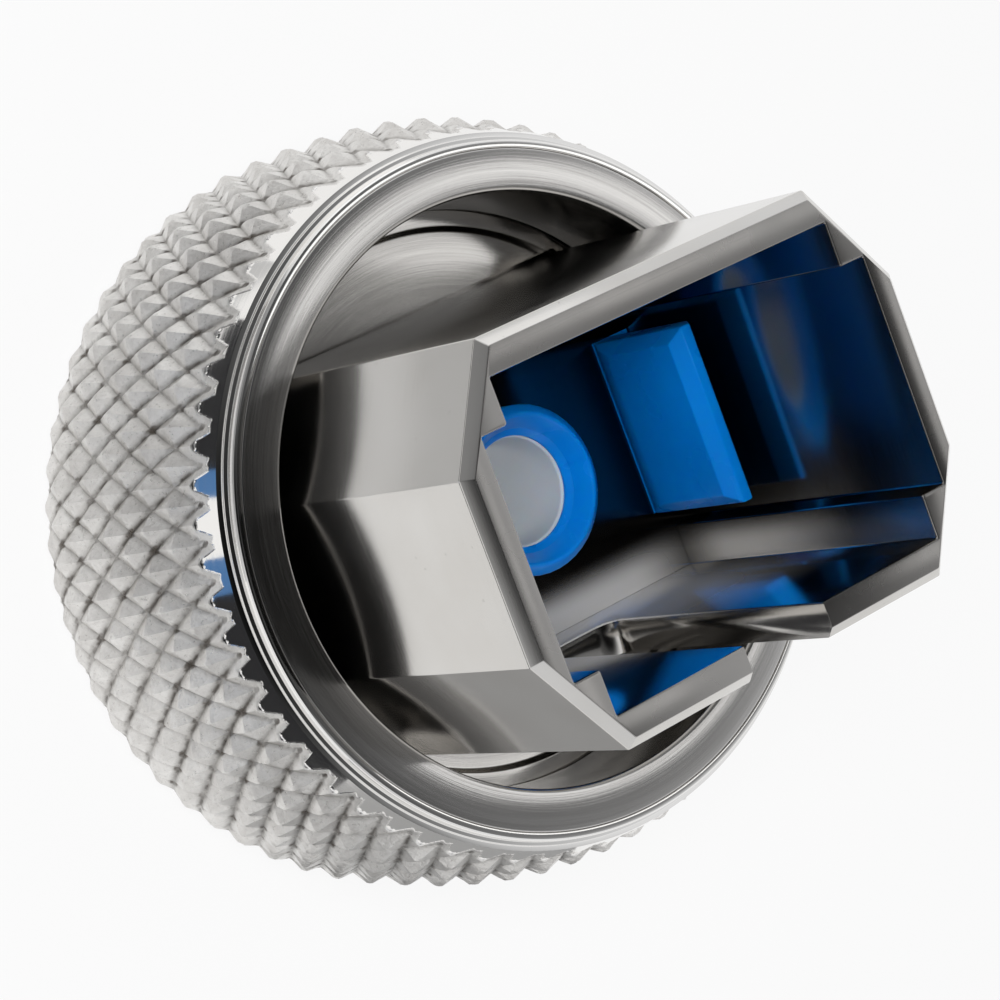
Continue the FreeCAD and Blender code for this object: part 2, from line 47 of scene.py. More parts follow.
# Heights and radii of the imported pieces, in metres.
NUT_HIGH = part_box("coupling_nut")[1]
RING_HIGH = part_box("bezel_ring")[1]
SHELL_LOW, SHELL_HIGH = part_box("receptacle_shell")
SLEEVE_LOW, SLEEVE_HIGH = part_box("split_sleeve")
FRONT = NUT_HIGH[2]
SEAT_RADIUS = RING_HIGH[0]
RING_BORE = SEAT_RADIUS - 1.0 * MM
CROWN_RADIUS = NUT_HIGH[1]
BAND_RADIUS = SEAT_RADIUS + 0.42 * MM
BAND_TOP = FRONT - 0.38 * MM
THREAD_RADIUS = 6.46 * MM
SHOULDER = 3.5 * MM

# The receptacle's outside, in millimetres.
SHELL_OUTSIDE = (
    (6.27, -2.05), (6.27, 2.05), (4.71, 4.57), (-4.71, 4.57),
    (-6.27, 2.05), (-6.27, -2.05), (-4.71, -4.57), (4.71, -4.57),
)


def add_object(name, data):
    """A new object in the scene from a mesh, a lamp or a camera."""
    thing = bpy.data.objects.new(name, data)
    bpy.context.scene.collection.objects.link(thing)
    return thing


def polar(radius, angle, height):
    """A place from its radius, its angle in radians and its height."""
    return Vector((radius * math.cos(angle), radius * math.sin(angle), height))


def mesh_object(name, points, faces, body, replaces=()):
    """A new piece from points and faces, which rides on a body."""
    mesh = bpy.data.meshes.new(name)
    mesh.from_pydata([tuple(point) for point in points], [], faces)
    mesh.validate()
    mesh.update()
    piece = add_object(name, mesh)
    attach(piece, body)
    if replaces:
        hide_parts(*replaces)
    return piece


def finish_mesh(piece, degrees=32, merge=0.0):
    """Point the faces outward, shade them smooth and keep sharp edges crisp."""
    limit = math.radians(degrees)
    work = bmesh.new()
    work.from_mesh(piece.data)
    if merge:
        bmesh.ops.remove_doubles(work, verts=work.verts, dist=merge)
    bmesh.ops.recalc_face_normals(work, faces=work.faces)
    if work.calc_volume(signed=True) < 0:
        bmesh.ops.reverse_faces(work, faces=work.faces)
    for face in work.faces:
        face.smooth = True
    for edge in work.edges:
        edge.smooth = len(edge.link_faces) == 2 and edge.calc_face_angle(0) < limit
    work.to_mesh(piece.data)
    work.free()


def grid_faces(rows, columns, closed_rows=True):
    """Quads of a grid that closes round its columns, and round its rows if asked."""
    faces = []
    row_count = rows if closed_rows else rows - 1
    for row in range(row_count):
        after = (row + 1) % rows
        for column in range(columns):
            beside = (column + 1) % columns
            faces.append((
                row * columns + column,
                after * columns + column,
                after * columns + beside,
                row * columns + beside,
            ))
    return faces


def rounded_profile(corners, steps=4):
    """A closed (radius, height) outline whose corners carry their own fillet radius."""
    outline = []
    count = len(corners)
    for index, (radius, height, fillet) in enumerate(corners):
        here = Vector((radius, height))
        if fillet <= 0:
            outline.append(here)
            continue
        before = Vector(corners[index - 1][:2]) - here
        after = Vector(corners[(index + 1) % count][:2]) - here
        half = before.angle(after) / 2
        reach = min(fillet / math.tan(half), 0.49 * before.length, 0.49 * after.length)
        true_fillet = reach * math.tan(half)
        middle = (before.normalized() + after.normalized()).normalized()
        centre = here + middle * (true_fillet / math.sin(half))
        start = here + before.normalized() * reach - centre
        end = here + after.normalized() * reach - centre
        sweep = start.angle_signed(end)
        for step in range(steps + 1):
            turn = Matrix.Rotation(-sweep * step / steps, 2)
            outline.append(centre + turn @ start)
    return outline


def rounded_mm(corners, steps=4):
    """The same outline from millimetres, in metres."""
    return rounded_profile([(r * MM, z * MM, f * MM) for r, z, f in corners], steps)


def turned(name, corners, body, replaces=(), segments=256):
    """A turned piece: a closed outline in millimetres, filleted and swept about Z."""
    outline = rounded_mm(corners)
    points = []
    for spot in outline:
        for number in range(segments):
            points.append(polar(spot.x, 2 * math.pi * number / segments, spot.y))
    piece = mesh_object(name, points, grid_faces(len(outline), segments), body, replaces)
    finish_mesh(piece)
    return piece


def cleaned(mesh):
    """A mesh to work on, its doubled points merged and its flat faces joined."""
    work = bmesh.new()
    work.from_mesh(mesh)
    bmesh.ops.remove_doubles(work, verts=work.verts, dist=1e-7)
    bmesh.ops.dissolve_limit(
        work, angle_limit=math.radians(0.6), verts=work.verts, edges=work.edges,
        use_dissolve_boundaries=False,
    )
    return work


def sharp_edges(work, degrees):
    """The edges at which two faces meet at more than an angle."""
    return [edge for edge in work.edges if len(edge.link_faces) == 2
            and edge.calc_face_angle(0) > math.radians(degrees)]


def round_edges(work, edges, width, segments, **more):
    """Round some edges by a width in metres."""
    bmesh.ops.bevel(work, geom=edges, offset=width, offset_type="OFFSET", segments=segments,
                    profile=0.5, affect="EDGES", clamp_overlap=True, **more)


def softened(name, node, body, width):
    """A copy of the insert's node with its tip and every sharp edge rounded."""
    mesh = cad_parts[node].data.copy()
    mesh.name = name
    mesh.materials.clear()
    round_tube_tip(mesh)
    work = cleaned(mesh)
    round_edges(work, sharp_edges(work, 25), width, 3, miter_outer="ARC")
    work.to_mesh(mesh)
    work.free()
    for layer in ("sharp_face", "custom_normal"):
        if layer in mesh.attributes:
            mesh.attributes.remove(mesh.attributes[layer])
    piece = add_object(name, mesh)
    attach(piece, body)
    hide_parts(node)
    finish_mesh(piece, 26)
    return piece


TUBE_TIP = 7.6 * MM
TUBE_RADIUS = 2.0 * MM
TUBE_ROUNDING = 0.24 * MM


def round_tube_tip(mesh):
    """Round the outer edge of the insert's tube more than its other edges."""
    work = cleaned(mesh)

    def on_tip(vertex):
        place = vertex.co
        return (abs(place.z - TUBE_TIP) < 0.01 * MM
                and abs(place.xy.length - TUBE_RADIUS) < 0.03 * MM)

    edges = [edge for edge in work.edges if all(map(on_tip, edge.verts))]
    round_edges(work, edges, TUBE_ROUNDING, 5)
    work.to_mesh(mesh)
    work.free()


# The knurl: two families of slanting V grooves that cross on a barrel.
KNURL_COLUMNS = 62
KNURL_ROWS = 4
KNURL_STEPS = 12
KNURL_PHASE = math.radians(3.53)
KNURL_FRONT = FRONT - 0.83 * MM
KNURL_REAR = 0.5 * MM
KNURL_PITCH = (KNURL_FRONT - KNURL_REAR) / KNURL_ROWS
KNURL_RUN_IN = 1.5 * MM
END_DEPTH = 0.135
MORE_DEPTH = 0.12
# The crown: where it is widest, how far it falls to each end, and how suddenly.
CROWN_MIDDLE = FRONT - 5.4 * MM
CROWN_FRONT_FALL = 0.65 * MM
CROWN_REAR_FALL = 0.25 * MM
CROWN_POWER = 3.2
# The turned blank: the slopes of its cones, and where the front one drops under the knurl.
BAND_SLOPE = 0.35
HIDDEN_TOP = FRONT - 0.98 * MM
HIDDEN_SLOPE = 3.0
REAR_FALL = 0.60 * MM
REAR_SLOPE = 0.70
# The teeth: how soon a groove's side ends in the nearly flat top, and their wear.
FLANK_SLOPE = 1.16
TOP_SHARE = 0.91
GROOVE_FLOOR = 0.03
WEAR_DEPTH = 0.03 * MM
WEAR_FADE = 0.6 * MM
WEAR_RADIUS = 8.8
DRIFT = 0.035 * MM
# The painted shade in the grooves: how far a cut's edge fades, how wide a crossing is, and the
# shares of both.
CUT_FADE = 0.05 * MM
CROSSING_REACH = 0.16
LINE_SHARE, CROSSING_SHARE = 0.75, 0.25
SECOND_LINE = 0.88


def crest_radius(height):
    """Radius of the knurl's points at a height: a crowned barrel."""
    if height > CROWN_MIDDLE:
        share = min(1.0, (height - CROWN_MIDDLE) / (KNURL_FRONT - CROWN_MIDDLE))
        return CROWN_RADIUS - CROWN_FRONT_FALL * share ** CROWN_POWER
    share = (CROWN_MIDDLE - height) / (CROWN_MIDDLE - KNURL_REAR)
    return CROWN_RADIUS - CROWN_REAR_FALL * min(1.2, share) ** CROWN_POWER


def groove_depth(height):
    """Depth of the grooves at a height, shallow towards both ends."""
    end = min(KNURL_FRONT - height, height - KNURL_REAR)
    share = min(1.0, max(0.0, end / KNURL_RUN_IN))
    return (END_DEPTH + MORE_DEPTH * share) * MM


def blank_radius(height):
    """Radius of the turned blank under the knurl, sloping in at both ends."""
    front_cone = BAND_RADIUS + (BAND_TOP - height) * BAND_SLOPE
    front_cone += max(0.0, HIDDEN_TOP - height) * HIDDEN_SLOPE
    rear_cone = CROWN_RADIUS - REAR_FALL + height * REAR_SLOPE
    return min(front_cone, rear_cone, CROWN_RADIUS)


def wear_at(angle, height):
    """The wear of the teeth, about nought: broad and fine, and none at the front edge."""
    spot = Vector((math.cos(angle) * WEAR_RADIUS, math.sin(angle) * WEAR_RADIUS, height / MM))
    wear = noise.noise(spot * 1.3) * 0.4 + noise.noise(spot * 4.1 + Vector((7, 3, 1))) * 0.6
    return wear * min(1.0, max(0.0, (KNURL_FRONT - height) / WEAR_FADE))


def knurl_radius(angle, height):
    """Radius of the knurled surface, the painted shade in its grooves, and how far it is cut.
    """
    turn = KNURL_COLUMNS * (angle - KNURL_PHASE) / (2 * math.pi)
    rise = (height - KNURL_FRONT) / KNURL_PITCH
    first, second = turn + rise, turn - rise
    from_first = abs(first - round(first))
    from_second = abs(second - round(second))
    tooth = min(1.0, 2 * min(from_first, from_second))
    shape = max(GROOVE_FLOOR, min(tooth * FLANK_SLOPE, TOP_SHARE + (1 - TOP_SHARE) * tooth))
    radius = crest_radius(height) - groove_depth(height) * (1 - shape)
    radius += wear_at(angle, height) * WEAR_DEPTH
    blank = blank_radius(height)
    if radius > blank:
        return blank, 0.0, max(0.0, 1 - (radius - blank) / CUT_FADE)
    crossing = max(0.0, 1 - max(from_first, from_second) / CROSSING_REACH)
    lines = max(1 - 2 * from_first, SECOND_LINE * (1 - 2 * from_second))
    groove = LINE_SHARE * max(0.0, lines) + CROSSING_SHARE * crossing
    return radius, groove * min(1.0, (blank - radius) / CUT_FADE), 1.0


def outer_rows():
    """Rows of the nut's outside, from its front lip to its rear face.

    Each has a radius, or none where it follows the blank or the knurl, a height, and
    whether it is knurled.
    """
    lip = SEAT_RADIUS / MM
    top = FRONT / MM
    corners = [
        (lip, top - 0.3, 0), (lip, top, 0.03), (lip + 0.2, top, 0.1),
        (lip + 0.205, top - 0.24, 0.02), (lip + 0.30, top - 0.26, 0.02),
        (lip + 0.31, top - 0.345, 0.02), (lip + 0.42, top - 0.38, 0),
    ]
    rows = [(spot.x, spot.y, False) for spot in rounded_mm(corners)[1:]]
    for drop in (0.42, 0.48):
        rows.append((None, FRONT - drop * MM, False))
    step = KNURL_PITCH / KNURL_STEPS
    for number in range(4, -7, -1):
        rows.append((None, KNURL_FRONT + step * number / 2, True))
    for number in range(4, KNURL_STEPS * KNURL_ROWS + 3):
        rows.append((None, KNURL_FRONT - step * number, True))
    for fall, height in ((0.57, 0.05), (0.60, 0.015), (0.63, 0.0)):
        rows.append((CROWN_RADIUS - fall * MM, height * MM, False))
    return rows


def outer_surface(columns):
    """Points of the nut's outside, row by row, with the painted groove shade and the cut at
    each.
    """
    points, depths = [], []
    for radius, height, knurled in outer_rows():
        for number in range(columns):
            angle = KNURL_PHASE + 2 * math.pi * number / columns
            here, depth, cut = radius, 0.0, 0.0
            if radius is None and knurled:
                here, depth, cut = knurl_radius(angle, height)
            elif radius is None:
                here = blank_radius(height)
            place = polar(here, angle, height)
            end = min(KNURL_FRONT - height, height - KNURL_REAR)
            if knurled and end > 0:
                reach = min(1.0, end / MM) * DRIFT
                side = noise.noise(place * 900) * reach
                lift = noise.noise(place * 900 + Vector((31, 17, 5))) * reach
                place += Vector((side * math.sin(angle), -side * math.cos(angle), lift))
            points.append(place)
            depths.append((depth, cut))
    return points, depths


def fold_ways(rows, columns):
    """Quads of the outside, cut along the grooves where a groove crosses them."""
    heights = [height for radius, height, knurled in rows]
    step = KNURL_PITCH / KNURL_STEPS
    faces = []
    for row in range(len(rows) - 1):
        level = (KNURL_FRONT - heights[row]) / step
        whole = abs(level - round(level)) < 1e-3 and rows[row][2] and rows[row + 1][2]
        whole = whole and abs(heights[row] - heights[row + 1] - step) < 1e-9
        for column in range(columns):
            beside = (column + 1) % columns
            one, two = row * columns + column, row * columns + beside
            three, four = two + columns, one + columns
            if whole and (column - round(level)) % KNURL_STEPS == 0:
                faces += [(one, four, three), (one, three, two)]
            elif whole and (column + 1 + round(level)) % KNURL_STEPS == 0:
                faces += [(one, four, two), (two, four, three)]
            else:
                faces.append((one, four, three, two))
    return faces


# The coupling thread inside the nut: one turn a millimetre.
THREAD_PITCH = 1.0 * MM
THREAD_DEPTH = 0.5 * MM
THREAD_LOW = 0.3 * MM
THREAD_HIGH = 3.3 * MM
THREAD_TURNS = 6
THREAD_SHARES = (0.0, 0.2, 0.24, 0.52, 0.56, 0.68, 0.72)
THREAD_LEVELS = (0.0, 0.0, 0.06, 0.94, 1.0, 1.0, 0.94)


def thread_point(row, column, columns):
    """A point of the thread's surface: rows follow the helix and stop at both ends."""
    count = len(THREAD_SHARES)
    turn = row // count + THREAD_SHARES[row % count] + column / columns - 1
    height = min(THREAD_HIGH, max(THREAD_LOW, THREAD_LOW + THREAD_PITCH * turn))
    fade = min(1.0, (height - THREAD_LOW) / (0.12 * MM), (THREAD_HIGH - height) / (0.35 * MM))
    radius = THREAD_RADIUS + THREAD_DEPTH * THREAD_LEVELS[row % count] * max(0.0, fade)
    return polar(radius, KNURL_PHASE + 2 * math.pi * column / columns, height)


def level_circle(radius, height, columns):
    """Points of one level circle."""
    return [polar(radius, KNURL_PHASE + 2 * math.pi * number / columns, height)
            for number in range(columns)]


def band_faces(first, rows, columns):
    """Quads between neighbouring rows of points, of which the first has a number."""
    return [tuple(first + index for index in quad) for quad in grid_faces(rows, columns, False)]


def joining_faces(low, high, columns):
    """Quads between two rows of points that aren't neighbours in the list."""
    faces = []
    for column in range(columns):
        beside = (column + 1) % columns
        faces.append((low + column, low + beside, high + beside, high + column))
    return faces


def thread_faces(first, rows, columns):
    """Quads of the thread: a row's last column meets the row one turn further on."""
    faces = []
    turn = len(THREAD_SHARES)
    for row in range(rows - 1):
        for column in range(columns):
            one = first + row * columns + column
            if column < columns - 1:
                faces.append((one, one + 1, one + columns + 1, one + columns))
                continue
            near = first + min(row + turn, rows - 1) * columns
            far = first + min(row + 1 + turn, rows - 1) * columns
            faces.append((one, near, far, one + columns))
    return faces


def end_faces(outer, inside, columns, inner):
    """Faces across an end of the nut, where three outer columns meet one inner one."""
    faces = []
    for column in range(inner):
        beside = (column + 1) % inner
        edge = [outer + (3 * column + step) % columns for step in range(4)]
        faces.append((edge[0], edge[1], inside + column))
        faces.append((edge[1], inside + beside, inside + column))
        faces.append((edge[1], edge[2], inside + beside))
        faces.append((edge[2], edge[3], inside + beside))
    return faces


def build_nut():
    """The nut's whole surface: knurled outside, threaded and seated inside."""
    columns = KNURL_COLUMNS * KNURL_STEPS
    inner = columns // 3
    points, depths = outer_surface(columns)
    rows = outer_rows()
    lead_start = len(points)
    for radius, height in ((6.80, 0.0), (6.76, 0.02)):
        points += level_circle(radius * MM, height * MM, inner)
    thread_start = len(points)
    thread_rows = len(THREAD_SHARES) * THREAD_TURNS + 1
    for row in range(thread_rows):
        points += [thread_point(row, column, inner) for column in range(inner)]
    wall_start = len(points)
    walls = ((THREAD_RADIUS, SHOULDER - 0.03 * MM), (THREAD_RADIUS + 0.03 * MM, SHOULDER),
             (SEAT_RADIUS, SHOULDER), (SEAT_RADIUS, FRONT - 0.3 * MM))
    for radius, height in walls:
        points += level_circle(radius, height, inner)
    depths += [(0.0, 0.0)] * (len(points) - len(depths))
    last_outer = (len(rows) - 1) * columns
    last_thread = thread_start + (thread_rows - 1) * inner
    last_wall = wall_start + (len(walls) - 1) * inner
    faces = fold_ways(rows, columns)
    faces += band_faces(lead_start, 2, inner)
    faces += joining_faces(lead_start + inner, thread_start, inner)
    faces += joining_faces(last_thread, wall_start, inner)
    faces += thread_faces(thread_start, thread_rows, inner)
    faces += band_faces(wall_start, len(walls), inner)
    faces += end_faces(last_outer, lead_start, columns, inner)
    faces += end_faces(0, last_wall, columns, inner)
    nut = mesh_object("nut_knurled", points, faces, "nut", ["coupling_nut"])
    return nut, depths


def store_depths(piece, places, depths):
    """Keep the painted shade of the grooves and the knurled share on the mesh, for its
    material.
    """
    known = {}
    for place, pair in zip(places, depths):
        known[tuple(round(value * 1e7) for value in place)] = pair
    groove = piece.data.attributes.new("groove", "FLOAT", "POINT")
    cut = piece.data.attributes.new("knurled", "FLOAT", "POINT")
    for vertex in piece.data.vertices:
        key = tuple(round(value * 1e7) for value in vertex.co)
        pair = known.get(key, (0.0, 0.0))
        groove.data[vertex.index].value = pair[0]
        cut.data[vertex.index].value = pair[1]


def make_nut():
    """The nut, with its facets kept crisp and its grooves known to the material."""
    nut, depths = build_nut()
    places = [vertex.co.copy() for vertex in nut.data.vertices]
    finish_mesh(nut, 22, merge=1e-8)
    store_depths(nut, places, depths)
    return nut


def cut_from(piece, cutters):
    """Cut helper solids out of a piece, then drop them."""
    for cutter in cutters:
        modifier = piece.modifiers.new("cut", "BOOLEAN")
        modifier.object = cutter
        modifier.solver = "EXACT"
    bpy.context.view_layer.update()
    graph = bpy.context.evaluated_depsgraph_get()
    mesh = bpy.data.meshes.new_from_object(piece.evaluated_get(graph))
    piece.modifiers.clear()
    piece.data = mesh
    for cutter in cutters:
        bpy.data.objects.remove(cutter)
    finish_mesh(piece)


def prism(outline, low, high):
    """A plain upright solid, used only as a cutter."""
    count = len(outline)
    points = [(x * MM, y * MM, z * MM) for z in (low, high) for x, y in outline]
    faces = [tuple(range(count))[::-1], tuple(range(count, 2 * count))]
    for number in range(count):
        beside = (number + 1) % count
        faces.append((number, beside, count + beside, count + number))
    mesh = bpy.data.meshes.new("cutter")
    mesh.from_pydata(points, [], faces)
    return add_object("cutter", mesh)


def circle_outline(radius, north, count):
    """Corners of a round hole whose centre lies on the Y axis; millimetres."""
    corners = []
    for number in range(count):
        angle = 2 * math.pi * number / count
        corners.append((radius * math.cos(angle), north + radius * math.sin(angle)))
    return corners


def make_disc():
    """The captive disc with the receptacle's seat and the locating hole."""
    disc = turned("disc_turned", [
        (2.7, 3.6, 0.03), (7.7766, 3.6, 0.06), (7.7766, 5.0, 0.06), (6.4966, 5.0, 0.03),
        (6.3966, 4.8, 0.04), (2.1, 4.8, 0), (2.1, 3.9, 0), (2.7, 3.9, 0),
    ], "receptacle", ["adapter_body"])
    wider = [tuple(spot) for spot in offset_corners(SHELL_OUTSIDE, -0.05)]
    widest = [tuple(spot) for spot in offset_corners(SHELL_OUTSIDE, -0.09)]
    hole = circle_outline(0.6, -5.5, 48)
    cut_from(disc, [prism(wider, 4.4, 5.2), prism(widest, 4.76, 5.2), prism(hole, 3.0, 4.4)])
    return disc


def offset_corners(corners, shift):
    """Corners of an outline moved inward by a distance; a negative one moves them out."""
    moved = []
    count = len(corners)
    for index in range(count):
        here = Vector(corners[index])
        ahead = (Vector(corners[(index + 1) % count]) - here).normalized()
        behind = (here - Vector(corners[index - 1])).normalized()
        one = Vector((-behind.y, behind.x))
        two = Vector((-ahead.y, ahead.x))
        moved.append(here + (one + two) * (shift / (1 + one.dot(two))))
    return moved


def level_loop(corners, shift, fillet, height, steps=3):
    """Points round an outline at one height, with rounded corners; millimetres."""
    places = [(spot.x, spot.y, fillet) for spot in offset_corners(corners, shift)]
    return [(spot.x, spot.y, height * MM) for spot in rounded_mm(places, steps)]


def fill_between(piece, height):
    """Close a mesh at one height with a flat face between its two open loops."""
    work = bmesh.new()
    work.from_mesh(piece.data)
    edges = [edge for edge in work.edges if len(edge.link_faces) == 1
             and all(abs(vertex.co.z - height) < 1e-7 for vertex in edge.verts)]
    bmesh.ops.triangle_fill(work, edges=edges, use_beauty=True, use_dissolve=False)
    work.to_mesh(piece.data)
    work.free()


def make_shell():
    """The polished housing: rounded edges, a bevelled rim, two pockets and the key slot."""
    low, top = SHELL_LOW[2] / MM, SHELL_HIGH[2] / MM
    outer_fillet, inner_fillet = 0.07, 0.05
    inside = [(5.53, -2.70), (5.53, 2.70), (4.83, 2.70), (4.83, 3.74),
              (-4.83, 3.74), (-4.83, 2.70), (-5.53, 2.70), (-5.53, -2.70),
              (-4.83, -2.70), (-4.83, -3.74), (4.83, -3.74), (4.83, -2.70)]
    profile = rounded_profile([(1, low, 0), (0, low, 0), (0, top - 0.24, 0.06),
                               (0.24, top, 0.012), (1, top, 0)])[1:-1]
    rim = [(-0.05, top), (-0.015, top - 0.013), (0, top - 0.05), (0, low)]
    points = []
    outer_count = len(level_loop(SHELL_OUTSIDE, 0, outer_fillet, 0))
    inner_count = len(level_loop(inside, 0, inner_fillet, 0))
    for shift, height in profile:
        points += level_loop(SHELL_OUTSIDE, shift, outer_fillet, height)
    inner_start = len(points)
    for shift, height in rim:
        points += level_loop(inside, shift, inner_fillet, height)
    faces = grid_faces(len(profile), outer_count, False)
    faces += band_faces(inner_start, len(rim), inner_count)
    shell = mesh_object("shell_polished", points, faces, "receptacle",
                        ["receptacle_shell"])
    fill_between(shell, top * MM)
    fill_between(shell, low * MM)
    finish_mesh(shell)
    half, end, corner = 1.2, top - 7.94, 0.55
    slot = [(half, top + 1), (-half, top + 1)]
    for centre, start in ((-half + corner, 180), (half - corner, 270)):
        for step in range(9):
            angle = math.radians(start + 90 * step / 8)
            slot.append((centre + corner * math.cos(angle),
                         end + corner + corner * math.sin(angle)))
    cutter = prism(slot, 3.2, 5.2)
    cutter.data.transform(Matrix.Rotation(math.radians(90), 4, "X"))
    cut_from(shell, [cutter])
    work = bmesh.new()
    work.from_mesh(shell.data)
    bmesh.ops.remove_doubles(work, verts=work.verts, dist=2e-7)

    def on_slot(vertex):
        place = vertex.co / MM
        return place.y < -3.6 and abs(place.x) < half + 0.002 and place.z > end - 0.01

    edges = [edge for edge in sharp_edges(work, 40) if all(map(on_slot, edge.verts))]
    round_edges(work, edges, 0.03 * MM, 2)
    work.to_mesh(shell.data)
    work.free()
    finish_mesh(shell, 26)
    return shell


def make_sleeve():
    """The split sleeve: a thin tube with rounded ends and a narrow slit."""
    low, high = SLEEVE_LOW[2] / MM, SLEEVE_HIGH[2] / MM
    bore, outside, slit = 1.25, 1.6, 0.35
    outline = rounded_mm([
        (bore, low, 0.05), (outside, low, 0.05), (outside, high, 0.05), (bore, high, 0.07),
    ])
    half_slit = math.asin(slit / 2 / bore)
    segments = 160
    points, faces = [], []
    for number in range(segments + 1):
        angle = -math.pi + half_slit + (2 * math.pi - 2 * half_slit) * number / segments
        points += [polar(spot.x, angle, spot.y) for spot in outline]
    count = len(outline)
    for number in range(segments):
        for index in range(count):
            one, two = number * count + index, number * count + (index + 1) % count
            faces.append((one, two, two + count, one + count))
    faces.append(tuple(range(count)))
    faces.append(tuple(range(segments * count, (segments + 1) * count))[::-1])
    sleeve = mesh_object("sleeve_split", points, faces, "receptacle",
                         ["split_sleeve"])
    finish_mesh(sleeve)
    return sleeve


def make_liner():
    """The thin plate on the floor of the mouth, open for the insert's tube and arms, which
    carries the mouth's painted shade and painted light.
    """
    corners = [(4.83, 3.74), (-4.83, 3.74), (-4.83, 2.70), (-5.53, 2.70), (-5.53, 2.2),
               (-4.35, 2.2), (-4.35, -2.2), (-5.53, -2.2), (-5.53, -2.70), (-4.83, -2.70),
               (-4.83, -3.74), (4.83, -3.74), (4.83, -2.70), (5.53, -2.70), (5.53, -2.2),
               (4.35, -2.2), (4.35, 2.2), (5.53, 2.2), (5.53, 2.70), (4.83, 2.70)]
    outline = offset_corners(corners, 0.01)
    count = len(outline)
    points = [(spot.x * MM, spot.y * MM, z * MM) for z in (5.66, 5.72) for spot in outline]
    faces = [tuple(range(count))[::-1], tuple(range(count, 2 * count))]
    faces += grid_faces(2, count, False)
    liner = mesh_object("liner_plate", points, faces, "receptacle")
    finish_mesh(liner)
    cut_from(liner, [prism(circle_outline(1.8, 0, 64), 5.5, 5.9)])
    return liner


nut = make_nut()
ring = turned("ring_turned", [
    (RING_BORE / MM, 5.1, 0.05), (SEAT_RADIUS / MM, 5.1, 0.05),
    (SEAT_RADIUS / MM, 8.0, 0.05), (RING_BORE / MM, 8.0, 0.12),
], "nut", ["bezel_ring"], segments=320)
disc = make_disc()
shell = make_shell()
insert = softened("insert_moulded", "latch_insert", "receptacle", 0.04 * MM)
lip = turned("insert_lip", [
    (1.3, 6.985, 0.02), (1.47, 6.985, 0), (1.47, 7.2, 0), (1.3, 7.06, 0.04),
], "receptacle", segments=128)
liner = make_liner()
bush = turned("bush_turned", [
    (1.45, 3.6, 0.05), (2.7, 3.6, 0.05), (2.7, 3.9, 0.03), (2.1, 3.9, 0.02),
    (2.1, 4.9, 0.02), (1.63, 4.9, 0.02), (1.63, 3.8, 0.02), (1.45, 3.8, 0.02),
], "receptacle", ["sleeve_retainer"], segments=128)
sleeve = make_sleeve()


